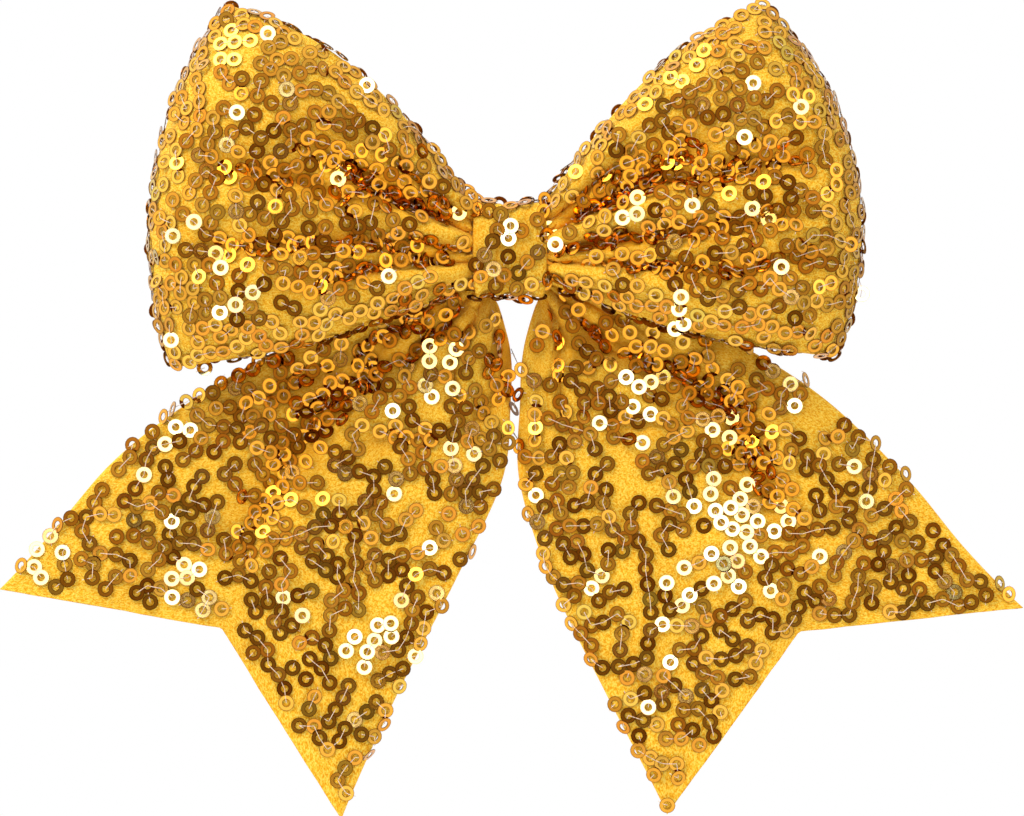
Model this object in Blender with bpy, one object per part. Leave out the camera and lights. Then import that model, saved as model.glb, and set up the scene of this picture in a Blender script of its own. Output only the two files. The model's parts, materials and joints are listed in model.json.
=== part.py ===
"""Sequinned cheer hair bow on a toothed alligator clip, as it would come apart on a bench.

Frame: metres, +Z up as the bow is worn, -Y out of the bow's front, +X to the wearer's left.
The origin is in the middle of the clip's bite, where the lock of hair is held.
"""

import math

import bmesh
import bpy
from mathutils import Matrix, Vector

MM = 0.001

# ---- Driving dimensions ----
RIBBON_WIDTH = 76.2 * MM  # three-inch ribbon, seen at full width across the tails' cut ends
NOTCH_DEPTH = 17 * MM  # of the V cut in each tail
CLOTH = 0.8 * MM  # the sequin cloth, and the ribbon that backs it
CLOTH_GAP = 0.3 * MM  # between the two, and wherever two pieces lie face to face

KNOT_WIDTH = 14.8 * MM
KNOT_HEIGHT = 18.8 * MM
KNOT_DEPTH = 10.2 * MM
KNOT_Y = -10.6 * MM  # the middle of the knot and of both loops, in front of the clip's bite
BAND_THICKNESS = 1.2 * MM

CLIP_LENGTH = 57 * MM
CLIP_TIP_X = -30 * MM
SHEET_STEEL = 0.8 * MM

# ---- Loops ----
# Each loop is a fan of straight ribs from the knot's side to the fold, where the strip turns back.
LOOP_ROOT_X = KNOT_WIDTH / 2 + 1.0 * MM
LOOP_ROOT_TOP = 8.4 * MM
LOOP_ROOT_BOTTOM = -5.5 * MM
# A rib's path in depth: (share of the way out, distance behind the loop's middle), front to back.
LOOP_PROFILE = [
    (0.00, -3.2 * MM),
    (0.12, -6.6 * MM),
    (0.30, -10.4 * MM),
    (0.52, -13.2 * MM),
    (0.76, -13.2 * MM),
    (0.93, -8.8 * MM),
    (1.00, -1.6 * MM),
    (0.94, 3.8 * MM),
    (0.76, 5.6 * MM),
    (0.52, 5.2 * MM),
    (0.30, 3.9 * MM),
    (0.12, 3.1 * MM),
    (0.00, 2.7 * MM),
]
EDGE_ROLL = 0.42  # how much of its depth a loop loses at its top and bottom edges
LOOP_PLEAT = 2.6 * MM
PLEAT_WIDTH = 0.11  # as a share of the ribbon's width
LOOPS = {
    "left": {
        "side": -1,
        "top": (math.radians(138.7), 69.4 * MM),
        "bottom": (math.radians(199.5), 66.6 * MM),
        "bulge": -0.9 * MM,
        "crown": 7.0 * MM,
        "belly": 2.8 * MM,
        "valleys": (0.30, 0.65),
    },
    "right": {
        "side": 1,
        "top": (math.radians(44.7), 65.2 * MM),
        "bottom": (math.radians(-18.6), 65.0 * MM),
        "bulge": 1.3 * MM,
        "crown": 5.6 * MM,
        "belly": 2.4 * MM,
        "valleys": (0.28, 0.58),
    },
}
BACK_VALLEYS = (0.36, 0.70)

# ---- Tails ----
TAIL_Y = -3.75 * MM
TAIL_PLEAT = 2.4 * MM
TAIL_VALLEYS = (0.42, 0.86)
TAIL_WAVE = 1.8 * MM
# Each edge runs from the knot outwards: (x, z) in millimetres. The inner edge ends at the tail's lower tip,
# and the cut runs from there to the outer tip, at cut_angle.
TAILS = {
    "left": {
        "outer": [(-8.3, -4.7), (-26, -11), (-44, -19), (-60, -28), (-75, -39.5), (-86, -52.5)],
        "inner": [
            (-3.3, -9.7),
            (-0.4, -18.6),
            (-0.1, -29),
            (-1.5, -43.6),
            (-10.2, -62.4),
            (-21.3, -84),
            (-32.1, -106.2),
        ],
        "cut_angle": math.radians(146.1),
    },
    "right": {
        "outer": [(8.3, -4.7), (26, -10.6), (43, -17.6), (60, -28.2), (75, -42.6), (86, -56.2)],
        "inner": [
            (3.3, -9.7),
            (2.9, -18.6),
            (2.1, -29),
            (1.9, -43.6),
            (7.6, -62.4),
            (18.3, -84),
            (30.3, -106),
        ],
        "cut_angle": math.radians(30.2),
    },
}
# The line where each tail leaves the knot, which it swings about: it passes through (x, z).
TAIL_HINGE = (5.3 * MM, -6.7 * MM)

# ---- Colours (linear) ----
GOLD_SEQUIN = (0.72, 0.42, 0.06, 1)
GOLD_RIBBON = (0.78, 0.47, 0.07, 1)
GOLD_THREAD = (0.80, 0.60, 0.42, 1)
STEEL = (0.62, 0.61, 0.59, 1)
HOT_GLUE = (0.85, 0.78, 0.58, 1)


# ---- Helpers ----
def clear_scene():
    for obj in list(bpy.data.objects):
        bpy.data.objects.remove(obj, do_unlink=True)


def material(name, colour, roughness, metallic=0.0):
    made = bpy.data.materials.new(name)
    made.use_nodes = True
    shader = made.node_tree.nodes["Principled BSDF"]
    shader.inputs["Base Color"].default_value = colour
    shader.inputs["Roughness"].default_value = roughness
    shader.inputs["Metallic"].default_value = metallic
    return made


def add_object(name, mesh, finish):
    obj = bpy.data.objects.new(name, mesh)
    obj.data.materials.append(finish)
    bpy.context.scene.collection.objects.link(obj)
    return obj


def mesh_of(name, points, faces, smooth=True):
    """A mesh with its faces turned outwards."""
    mesh = bpy.data.meshes.new(name)
    mesh.from_pydata(points, [], faces)
    bm = bmesh.new()
    bm.from_mesh(mesh)
    bmesh.ops.recalc_face_normals(bm, faces=bm.faces)
    bm.to_mesh(mesh)
    bm.free()
    if smooth:
        mesh.shade_smooth()
        mesh.set_sharp_from_angle(angle=math.radians(40))
    return mesh


def lerp(a, b, t):
    return a + (b - a) * t


def smooth_curve(points, t):
    """The point at share t of a Catmull-Rom curve through the points."""
    last = len(points) - 1
    i = min(int(t * last), last - 1)
    f = t * last - i
    before, start, end, after = (points[min(max(i + k, 0), last)] for k in (-1, 0, 1, 2))
    return [
        0.5 * (2 * b + (c - a) * f + (2 * a - 5 * b + 4 * c - d) * f**2 + (3 * b - a - 3 * c + d) * f**3)
        for a, b, c, d in zip(before, start, end, after)
    ]


def valley(v, places):
    """1 at the bottom of each pleat and 0 away from them."""
    return sum(math.exp(-(((v - place) / PLEAT_WIDTH) ** 2)) for place in places)


def normal_at(point, u, v):
    step = 0.004
    u0, u1 = max(u - step, 0), min(u + step, 1)
    v0, v1 = max(v - step, 0), min(v + step, 1)
    return (point(u1, v) - point(u0, v)).cross(point(u, v1) - point(u, v0)).normalized()


def cloth_solid(name, point, rows, columns, near, far, finish):
    """A closed skin between two offsets from the surface point(u, v), each along its own normal."""
    grid = [(r / rows, c / columns) for r in range(rows + 1) for c in range(columns + 1)]
    layers = [[point(u, v) + normal_at(point, u, v) * off for u, v in grid] for off in (near, far)]
    wide, count = columns + 1, len(grid)
    faces = []
    for r in range(rows):
        for c in range(columns):
            a = r * wide + c
            square = (a, a + 1, a + wide + 1, a + wide)
            faces.append(square)
            faces.append(tuple(i + count for i in reversed(square)))
    rim = [c for c in range(columns)]
    rim += [r * wide + columns for r in range(rows)]
    rim += [rows * wide + c for c in range(columns, 0, -1)]
    rim += [r * wide for r in range(rows, 0, -1)]
    for a, b in zip(rim, rim[1:] + rim[:1]):
        faces.append((b, a, a + count, b + count))
    return add_object(name, mesh_of(name, layers[0] + layers[1], faces), finish)


def prism(name, outline, axis, start, end, finish):
    """The outline's (a, b) pairs, drawn in the plane across axis, and extruded from start to end."""
    places = {
        "y": lambda a, b, h: (a, h, b),
        "z": lambda a, b, h: (a, b, h),
    }[axis]
    count = len(outline)
    points = [places(a, b, h) for h in (start, end) for a, b in outline]
    faces = [tuple(range(count)), tuple(range(2 * count - 1, count - 1, -1))]
    faces += [(i, i + count, (i + 1) % count + count, (i + 1) % count) for i in range(count)]
    return add_object(name, mesh_of(name, points, faces, smooth=False), finish)


def hinge(name, place, *pieces):
    """An empty on a joint's axis, which carries the pieces that turn about it."""
    pivot = bpy.data.objects.new(name, None)
    pivot.location = place
    bpy.context.scene.collection.objects.link(pivot)
    for piece in pieces:
        piece.parent = pivot
        piece.matrix_parent_inverse = Matrix.Translation(-Vector(place))


def joined(base, *others):
    """base with the others united into it; the others stay as hidden helpers."""
    for other in others:
        other.parent = base
        other.hide_render = True
        other.display_type = "WIRE"
        union = base.modifiers.new("join " + other.name, "BOOLEAN")
        union.operation = "UNION"
        union.object = other
    return base


def cut(base, cutter):
    cutter.parent = base
    cutter.hide_render = True
    cutter.display_type = "WIRE"
    hole = base.modifiers.new("cut " + cutter.name, "BOOLEAN")
    hole.operation = "DIFFERENCE"
    hole.object = cutter
    return base


def circle(centre, radius, count, first=0.0, last=2 * math.pi):
    """Points along an arc; a full circle leaves out its repeated last point."""
    full = math.isclose(last - first, 2 * math.pi)
    steps = count if full else count - 1
    angles = [lerp(first, last, i / steps) for i in range(count)]
    return [(centre[0] + radius * math.cos(a), centre[1] + radius * math.sin(a)) for a in angles]


def superellipse(centre, half_a, half_b, count, power=2.6):
    """A rounded rectangle's outline, as seen across the knot."""
    points = []
    for i in range(count):
        a = 2 * math.pi * i / count
        c, s = math.cos(a), math.sin(a)
        x = math.copysign(abs(c) ** (2 / power), c) * half_a
        y = math.copysign(abs(s) ** (2 / power), s) * half_b
        points.append((centre[0] + x, centre[1] + y))
    return points


def wire(name, path, radius, finish):
    """A round wire along a path of points."""
    curve = bpy.data.curves.new(name, "CURVE")
    curve.dimensions = "3D"
    spline = curve.splines.new("POLY")
    spline.points.add(len(path) - 1)
    for knot, place in zip(spline.points, path):
        knot.co = (*place, 1)
    curve.bevel_depth = radius
    curve.bevel_resolution = 1
    curve.use_fill_caps = True
    curve.materials.append(finish)
    obj = bpy.data.objects.new(name, curve)
    bpy.context.scene.collection.objects.link(obj)


# ---- Loops ----
def loop_surface(loop):
    side = loop["side"]
    top_angle, top_reach = loop["top"]
    bottom_angle, bottom_reach = loop["bottom"]

    def point(u, v):
        share, depth = smooth_curve(LOOP_PROFILE, u)
        angle = lerp(top_angle, bottom_angle, v)
        reach = lerp(top_reach, bottom_reach, v) + 4 * v * (1 - v) * loop["bulge"]
        root = Vector((side * LOOP_ROOT_X, 0, lerp(LOOP_ROOT_TOP, LOOP_ROOT_BOTTOM, v)))
        fold = Vector((reach * math.cos(angle), 0, reach * math.sin(angle)))
        place = root.lerp(fold, share)
        arch = math.sin(math.pi * min(max(share, 0), 1))
        place.z += arch * (loop["crown"] * (1 - v) ** 2 - loop["belly"] * v**2)
        depth *= 1 - EDGE_ROLL * abs(2 * v - 1) ** 4
        sunk = LOOP_PLEAT * arch
        if depth < 0:
            depth += sunk * valley(v, loop["valleys"])
        else:
            depth -= 0.5 * sunk * valley(v, BACK_VALLEYS)
        place.y = KNOT_Y + depth
        return place

    return point


def make_loops():
    for name, loop in LOOPS.items():
        surface = loop_surface(loop)
        out = -loop["side"]  # the right loop's normal points into the loop, the left one's out of it
        rows, columns = 26, 12
        cover = sorted((out * CLOTH_GAP / 2, out * (CLOTH_GAP / 2 + CLOTH)))
        lining = sorted((-out * CLOTH_GAP / 2, -out * (CLOTH_GAP / 2 + CLOTH)))
        cloth_solid(f"{name}_loop", surface, rows, columns, *cover, SEQUIN_FINISH)
        cloth_solid(f"{name}_loop_ribbon", surface, rows, columns, *lining, RIBBON_FINISH)


def make_gathered_loops():
    """The loops' strip, pleated together where the knot grips it."""
    stations = [(-1.0, 7.7, 3.5), (-0.5, 7.1, 2.8), (0.0, 6.6, 2.3), (0.5, 7.1, 2.8), (1.0, 7.7, 3.5)]
    flutes, count = 9, 54
    points, faces = [], []
    for share, half_z, half_y in stations:
        for i, (y, z) in enumerate(superellipse((KNOT_Y, 0), half_y * MM, half_z * MM, count)):
            shrink = 1 - 0.05 * (1 - math.cos(2 * math.pi * flutes * i / count)) / 2
            points.append((share * KNOT_WIDTH / 2, KNOT_Y + (y - KNOT_Y) * shrink, z * shrink))
    for ring in range(len(stations) - 1):
        for i in range(count):
            a, b = ring * count + i, ring * count + (i + 1) % count
            faces.append((a, b, b + count, a + count))
    faces.append(tuple(range(count)))
    faces.append(tuple(len(points) - 1 - i for i in range(count)))
    add_object("loops_gather", mesh_of("loops_gather", points, faces), SEQUIN_FINISH)


# ---- Tails ----
def upright(pairs):
    return [Vector((x * MM, 0, z * MM)) for x, z in pairs]


def tail_surface(tail, side):
    """A strip between the tail's two edges, drawn in at its end to meet the V cut."""
    inner = upright(tail["inner"])
    along_cut = Vector((math.cos(tail["cut_angle"]), 0, math.sin(tail["cut_angle"])))
    into_tail = Vector((-side * along_cut.z, 0, side * along_cut.x))
    tip = inner[-1] + along_cut * RIBBON_WIDTH
    notch = inner[-1].lerp(tip, 0.5) + into_tail * NOTCH_DEPTH
    outer = upright(tail["outer"]) + [tip]
    cut_line = [tip, notch, inner[-1]]

    def point(u, v):
        place = Vector(smooth_curve(outer, u)).lerp(Vector(smooth_curve(inner, u)), v)
        half = min(int(v * 2), 1)
        on_cut = cut_line[half].lerp(cut_line[half + 1], v * 2 - half)
        place += (on_cut - tip.lerp(inner[-1], v)) * u**3
        spread = min(u / 0.25, 1)
        fade = spread * (1 - u) ** 0.5
        place.y = TAIL_Y + TAIL_PLEAT * fade * (valley(v, TAIL_VALLEYS) - 0.4)
        place.y += TAIL_WAVE * math.sin(1.5 * math.pi * u) * spread
        return place

    return point


def make_tails():
    for name, tail in TAILS.items():
        side = -1 if name == "left" else 1
        surface = tail_surface(tail, side)
        front = -side  # the left tail's normal points out of the bow's front, the right one's into its back
        rows, columns = 16, 14
        cover = sorted((front * CLOTH_GAP / 2, front * (CLOTH_GAP / 2 + CLOTH)))
        back = sorted((-front * CLOTH_GAP / 2, -front * (CLOTH_GAP / 2 + CLOTH)))
        sequins = cloth_solid(f"{name}_tail", surface, rows, columns, *cover, SEQUIN_FINISH)
        ribbon = cloth_solid(f"{name}_tail_ribbon", surface, rows, columns, *back, RIBBON_FINISH)
        place = (side * TAIL_HINGE[0], TAIL_Y, TAIL_HINGE[1])
        hinge(f"{name}_tail_hinge", place, sequins, ribbon)


def make_gathered_tails():
    """The tail strip's folded middle, stitched flat to the back of the knot."""
    corner = [(7.6, -3.6), (2.5, -8.7)]
    shoulder = circle((0, 1.5), 5.6, 9, math.radians(20), math.radians(160))
    outline = [(-x, z) for x, z in corner] + [(0, -7.6)] + corner[::-1] + shoulder
    outline = [(x * MM, z * MM) for x, z in outline]
    prism("tails_gather", outline, "y", -5.15 * MM, -2.35 * MM, SEQUIN_FINISH)


# ---- Knot ----
def make_band():
    """The strip wound round the middle, as a flat tube across the bow."""
    count = 40
    points = []
    for x in (-KNOT_WIDTH / 2, KNOT_WIDTH / 2):
        for wall in (0, BAND_THICKNESS):
            outline = superellipse((KNOT_Y, 0), KNOT_DEPTH / 2 - wall, KNOT_HEIGHT / 2 - wall, count)
            points += [(x, y, z) for y, z in outline]
    left_out, left_in, right_out, right_in = (k * count for k in range(4))
    faces = []
    for i in range(count):
        j = (i + 1) % count
        faces.append((left_out + i, left_out + j, right_out + j, right_out + i))
        faces.append((left_in + j, left_in + i, right_in + i, right_in + j))
        faces.append((left_out + j, left_out + i, left_in + i, left_in + j))
        faces.append((right_out + i, right_out + j, right_in + j, right_in + i))
    add_object("knot_band", mesh_of("knot_band", points, faces), SEQUIN_FINISH)


def make_binding_thread():
    """Three turns of thread that pull the loops' pleats tight under the band."""
    radius, turns, pitch, per_turn = 0.35 * MM, 3, 1.3 * MM, 24
    ring = superellipse((KNOT_Y, 0), 3.1 * MM, 7.4 * MM, per_turn)
    path = [((i / per_turn - turns / 2) * pitch, *ring[i % per_turn]) for i in range(turns * per_turn + 1)]
    wire("binding_thread", path, radius, THREAD_FINISH)


# ---- Clip ----
PIVOT = (12 * MM, 2.2 * MM)  # (x, y) of the pin, which lies along Z
PIN_RADIUS = 0.8 * MM
PIN_HOLE = 0.88 * MM
BOW_JAW_HALF = 4.5 * MM
HEAD_JAW_HALF = 3.4 * MM
EAR = 0.6 * MM
BOW_JAW_FACE = -0.2 * MM  # the bow-side jaw's face on the hair
HEAD_JAW_FACE = 1.6 * MM  # the head-side jaw's plate, behind its teeth
HEAD_PLATE_END = 8.2 * MM
BOW_LEVER_ANGLE = math.radians(-8)
HEAD_LEVER_ANGLE = math.radians(30)
HEAD_LEVER_ROOT = (10.6 * MM, 4.2 * MM)
HEAD_LEVER_LENGTH = 16 * MM
SPRING_COIL = 1.75 * MM
SPRING_WIRE = 0.35 * MM
SPRING_PITCH = 0.85 * MM


def tongue(half_width, tip_x, root_x, corner):
    """A strip's outline from above, with a rounded tip: (x, z)."""
    tip = circle((tip_x + corner, half_width - corner), corner, 5, math.pi / 2, math.pi)
    return [(root_x, half_width)] + tip + [(x, -z) for x, z in reversed(tip)] + [(root_x, -half_width)]


def strip_along(name, start, angle, length, half_width):
    """A flat lever with rounded corners at its far end, leaving start (x, y) at an angle."""
    outline = [(-x, z) for x, z in tongue(half_width, -length, 0, 2 * MM)]
    obj = prism(name, outline, "y", 0, SHEET_STEEL, STEEL_FINISH)
    obj.data.transform(Matrix.Rotation(angle, 4, "Z"))
    obj.data.transform(Matrix.Translation((start[0], start[1], 0)))
    return obj


def ear(name, z, low, high, foot_x, reach):
    """A pivot ear: a plate with a round head about the pin, from z to z + EAR."""
    head = circle(PIVOT, reach, 11, math.radians(high), math.radians(low))
    outline = [foot_x[0]] + head + [foot_x[1]]
    return prism(name, outline, "z", z, z + EAR, STEEL_FINISH)


def pin_cutter(name):
    return prism(name, circle(PIVOT, PIN_HOLE, 24), "z", -8 * MM, 8 * MM, STEEL_FINISH)


def make_bow_jaw():
    """The jaw that the bow is glued to: a flat tongue, two ears for the pin, and a short lever."""
    plate_end = 17 * MM
    outline = tongue(BOW_JAW_HALF, CLIP_TIP_X, plate_end, 3 * MM)
    plate = prism("clip_bow_jaw", outline, "y", BOW_JAW_FACE - SHEET_STEEL, BOW_JAW_FACE, STEEL_FINISH)
    lever_start = (plate_end - 0.4 * MM, BOW_JAW_FACE - SHEET_STEEL)
    lever_length = (CLIP_TIP_X + CLIP_LENGTH - lever_start[0]) / math.cos(BOW_LEVER_ANGLE)
    lever = strip_along("bow_jaw_lever", lever_start, BOW_LEVER_ANGLE, lever_length, BOW_JAW_HALF)
    foot = BOW_JAW_FACE - SHEET_STEEL / 2
    feet = ((7.5 * MM, foot), (16.5 * MM, foot))
    sides = (-BOW_JAW_HALF, BOW_JAW_HALF - EAR)
    ears = [ear(f"bow_jaw_ear_{i}", z, 0, 180, feet, 2.1 * MM) for i, z in enumerate(sides)]
    cut(joined(plate, lever, *ears), pin_cutter("bow_jaw_pin_hole"))


def toothed_rail(name, z):
    """One long edge of the head-side jaw, turned towards the hair and cut into teeth."""
    first, tooth, count = CLIP_TIP_X + 2.6 * MM, 2.4 * MM, 12
    crest, root = 0.15 * MM, 1.15 * MM
    back = HEAD_JAW_FACE + SHEET_STEEL / 2
    teeth = []
    for i in range(count):
        x = first + i * tooth
        teeth += [(x, root), (x + tooth / 2, crest)]
    last = first + count * tooth
    return prism(name, teeth + [(last, root), (last, back), (first, back)], "z", z, z + EAR, STEEL_FINISH)


def make_head_jaw():
    """The jaw on the head's side: a toothed plate, two cheeks that carry the pin, and the thumb lever."""
    outline = tongue(HEAD_JAW_HALF, CLIP_TIP_X + 1.5 * MM, HEAD_PLATE_END, 2.4 * MM)
    plate = prism("clip_head_jaw", outline, "y", HEAD_JAW_FACE, HEAD_JAW_FACE + SHEET_STEEL, STEEL_FINISH)
    lever = strip_along("head_jaw_lever", HEAD_LEVER_ROOT, HEAD_LEVER_ANGLE, HEAD_LEVER_LENGTH, HEAD_JAW_HALF)
    cheek = [(7, 1.75), (9.6, 0.75), (13.6, 0.75), (15.4, 3), (16.4, 8), (10.7, 4.7), (8.5, 2.3), (7, 2.3)]
    cheek = [(x * MM, y * MM) for x, y in cheek]
    sides = (-HEAD_JAW_HALF, HEAD_JAW_HALF - EAR)
    cheeks = [prism(f"head_jaw_cheek_{i}", cheek, "z", z, z + EAR, STEEL_FINISH) for i, z in enumerate(sides)]
    rails = [toothed_rail(f"head_jaw_teeth_{i}", z) for i, z in enumerate(sides)]
    jaw = cut(joined(plate, lever, *cheeks, *rails), pin_cutter("head_jaw_pin_hole"))
    hinge("clip_hinge", (*PIVOT, 0), jaw)


def make_pin():
    """A plain pin with a low head at each end, riveted over the outer ears."""
    half, head = BOW_JAW_HALF, 0.5 * MM
    gap = 0.15 * MM
    profile = [
        (0, -half - gap - head),
        (1.3 * MM, -half - gap - head),
        (1.5 * MM, -half - gap - head / 2),
        (1.5 * MM, -half - gap),
        (PIN_RADIUS, -half - gap),
    ]
    profile += [(r, -z) for r, z in reversed(profile)]
    sides = 16
    points, faces = [], []
    for r, z in profile[1:-1]:
        points += [(PIVOT[0] + x, PIVOT[1] + y, z) for x, y in circle((0, 0), r, sides)]
    rings = len(profile) - 2
    for k in range(rings - 1):
        for i in range(sides):
            a, b = k * sides + i, k * sides + (i + 1) % sides
            faces.append((a, b, b + sides, a + sides))
    faces += [tuple(range(sides)), tuple(rings * sides - 1 - i for i in range(sides))]
    add_object("clip_pin", mesh_of("clip_pin", points, faces), STEEL_FINISH)


def make_spring():
    """A torsion spring round the pin: one leg under the bow-side lever, the other under the thumb lever."""
    first = math.radians(-90)
    last = HEAD_LEVER_ANGLE + math.radians(90 - 4 * 360)
    steps = 52
    height = SPRING_PITCH * (first - last) / (2 * math.pi)
    coil = []
    for i in range(steps + 1):
        angle = lerp(first, last, i / steps)
        x = PIVOT[0] + SPRING_COIL * math.cos(angle)
        y = PIVOT[1] + SPRING_COIL * math.sin(angle)
        coil.append((x, y, height * (i / steps - 0.5)))
    low_leg = (coil[0][0] + 6 * MM, coil[0][1], coil[0][2])
    reach = 9 * MM
    high_leg = (
        coil[-1][0] + reach * math.cos(HEAD_LEVER_ANGLE),
        coil[-1][1] + reach * math.sin(HEAD_LEVER_ANGLE),
        coil[-1][2],
    )
    wire("clip_spring", [low_leg] + coil + [high_leg], SPRING_WIRE, STEEL_FINISH)


def make_glue_pad():
    """The flattened bead of hot glue between the tails' gather and the clip."""
    outline = superellipse((0, -0.6 * MM), 6.2 * MM, 3.6 * MM, 28, power=2.4)
    prism("glue_pad", outline, "y", -2.05 * MM, -1.3 * MM, GLUE_FINISH)


clear_scene()
SEQUIN_FINISH = material("sequin_cloth", GOLD_SEQUIN, 0.35, 0.6)
RIBBON_FINISH = material("backing_ribbon", GOLD_RIBBON, 0.6)
THREAD_FINISH = material("thread", GOLD_THREAD, 0.7)
STEEL_FINISH = material("clip_steel", STEEL, 0.28, 1.0)
GLUE_FINISH = material("hot_glue", HOT_GLUE, 0.3)
make_loops()
make_gathered_loops()
make_tails()
make_gathered_tails()
make_band()
make_binding_thread()
make_bow_jaw()
make_head_jaw()
make_pin()
make_spring()
make_glue_pad()
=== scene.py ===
import itertools
import json
import math

import bpy
import numpy as np
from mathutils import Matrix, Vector, noise
from mathutils.kdtree import KDTree


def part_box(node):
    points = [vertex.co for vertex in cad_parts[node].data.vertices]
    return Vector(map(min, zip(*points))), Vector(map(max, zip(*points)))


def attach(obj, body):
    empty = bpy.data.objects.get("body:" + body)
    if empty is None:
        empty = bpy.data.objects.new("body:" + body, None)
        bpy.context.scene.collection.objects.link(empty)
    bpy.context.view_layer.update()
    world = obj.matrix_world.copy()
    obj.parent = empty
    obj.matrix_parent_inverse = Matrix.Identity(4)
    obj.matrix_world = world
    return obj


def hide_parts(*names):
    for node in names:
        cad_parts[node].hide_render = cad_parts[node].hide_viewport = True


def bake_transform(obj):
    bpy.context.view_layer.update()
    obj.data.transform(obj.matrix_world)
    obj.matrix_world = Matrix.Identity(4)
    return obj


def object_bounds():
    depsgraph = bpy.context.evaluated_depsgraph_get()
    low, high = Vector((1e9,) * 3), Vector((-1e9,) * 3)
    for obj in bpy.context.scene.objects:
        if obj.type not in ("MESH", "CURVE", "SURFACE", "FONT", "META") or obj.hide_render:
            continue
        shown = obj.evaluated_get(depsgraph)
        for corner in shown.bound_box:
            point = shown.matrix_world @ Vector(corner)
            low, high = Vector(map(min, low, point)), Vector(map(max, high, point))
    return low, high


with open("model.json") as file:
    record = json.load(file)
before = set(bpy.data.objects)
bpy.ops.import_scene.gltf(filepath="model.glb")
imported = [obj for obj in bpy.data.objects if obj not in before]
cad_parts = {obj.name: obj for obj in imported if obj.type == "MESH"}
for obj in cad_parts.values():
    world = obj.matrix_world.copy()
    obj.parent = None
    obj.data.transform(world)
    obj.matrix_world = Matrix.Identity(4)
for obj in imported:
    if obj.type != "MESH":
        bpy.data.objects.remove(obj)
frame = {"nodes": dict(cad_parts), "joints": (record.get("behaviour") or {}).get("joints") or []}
CAD_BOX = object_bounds()

MM = 0.001
rng = np.random.default_rng(11)

# ---- Sizes, in millimetres ----
KNOT_LOW, KNOT_HIGH = (np.array(corner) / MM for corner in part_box("knot_band"))
KNOT_Y = (KNOT_LOW[1] + KNOT_HIGH[1]) / 2
KNOT_HALF = (KNOT_HIGH - KNOT_LOW) / 2
RIBBON_WIDTH = 76.2

THICK = 0.5  # of the cloth and of the ribbon
CLOTH_OFFSET = 0.55  # the cloth's middle in front of the surface that it shares with its lining
LINING_OFFSET = -0.1
HEM_RADIUS = 0.75
HEM_WIDTH = 5.0
TURN_STEPS = 7  # grid columns round each hem's turn
HEM_STEPS = 4  # grid columns across each hem's flat part
BARE_COLUMNS = 9  # columns at each edge of a hemmed grid that hold no sequins
EDGE_INSET = 0.016  # share of the width that each hemmed edge stands in, which leaves room for sequins

SEQUIN_RADIUS = 1.53
SEQUIN_HOLE = 0.72
SEQUIN_THICK = 0.13
SEQUIN_SIDES = 16
CUT_EDGE = 0.18  # width of the strip of painted shade along a sequin's rim and its hole
SEQUINS_PER_MM2 = 0.098
CREASE_DENSITY = 1.5  # sequins added down in a crease, as a share of those on smooth cloth
SPACING = 2.5  # least distance from a chain's first sequin to any other
CHAIN_SPACING = 2.4  # the same for the rest of a chain
CREASE_CROWDING = 0.95  # how much closer they may be down in a crease
CHAIN_STEP = (2.4, 3.05)
CHAIN_REACH = (1.9, 3.4)  # the shortest and longest true distance of a step
CHAIN_WANDER = 0.75  # how much a chain turns from step to step, in radians
LONGEST_CHAIN = 7
CELL = 3.0  # no smaller than SPACING
HANG = np.array([0.8, 1.0, 0.6])  # sequins hang more upright than the cloth under them
STEADY_TILT = 5.0  # degrees, as are the next two
CREASE_TILT = 26.0
LOOSE_TILT = 12.0
LOOSE_SHARE = 0.16
SHINE_WANDER = 0.018
CREASE_REFLECTION_GAIN = 2.3  # how much faster than its crease a sequin takes the painted reflection of the gold cloth and painted shade
MOST_LIFT = 1.0
LAYERS = (0.12, 0.28, 0.44)  # neighbours lie at three heights, so that they don't cut
THREAD_RADIUS = 0.07
THREAD_TUCK = 0.35  # how far past a sequin's rim, and behind it, its thread ends when no other follows it
THREAD_SIDES = 4  # one face closes each end

LEVER_ANGLE = math.radians(30)  # the thumb lever's rise from the clip's back
SPRING_TURNS = 4  # less the part of a turn between its two legs
SPRING_COIL = 1.75
SPRING_WIRE = 0.35
SPRING_PITCH = 0.85

LENS = 135.0
SENSOR_WIDTH = 36.0
CAD_LOW, CAD_HIGH = np.array(CAD_BOX[0]) / MM, np.array(CAD_BOX[1]) / MM
FRAME_WIDTH = (CAD_HIGH[0] - CAD_LOW[0]) * 1.008  # what the camera sees from side to side at the knot
CAMERA_PLACE = (CAD_LOW + CAD_HIGH) / 2
CAMERA_PLACE[1] = KNOT_Y - FRAME_WIDTH * LENS / SENSOR_WIDTH
GLINT_PLACE = CAMERA_PLACE + np.array([-20.0, 90.0, 172.0])

# A rib of a loop in depth: (share of the way out, distance behind the loop's middle), front to back.
LOOP_PROFILE = [
    (0.00, -2.3), (0.12, -6.4), (0.30, -10.6), (0.52, -13.4), (0.76, -13.2), (0.93, -8.8), (1.00, -1.6),
    (0.94, 3.8), (0.76, 5.6), (0.52, 5.2), (0.30, 3.9), (0.12, 3.1), (0.00, 2.3),
]
LOOP_ROOT_X = KNOT_HALF[0] - 0.9
LOOP_ROOT_TOP = 7.6
LOOP_ROOT_BOTTOM = -5.3
LOOP_GRID = (210, 84)  # rows and columns
LOOP_EDGE_ROLL = 0.72  # how much thinner the loop is at its open edges
LOOP_CREASE_SHARE = 0.86  # share of a crease's depth that a loop takes
LOOP_GATHERS = 5.5  # fine folds across a loop where it goes under the band
LOOP_GATHER_DEPTH = 2.3
LOOP_WRINKLES = ((0.75, 9.0, 3.1), (0.30, 3.6, 8.7))  # each (height, size, seed)
LOOP_ROOM = 6.0  # how deep a loop's front has to be for the whole of a crease
LOOP_BACK_ROOM = 4.0
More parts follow.
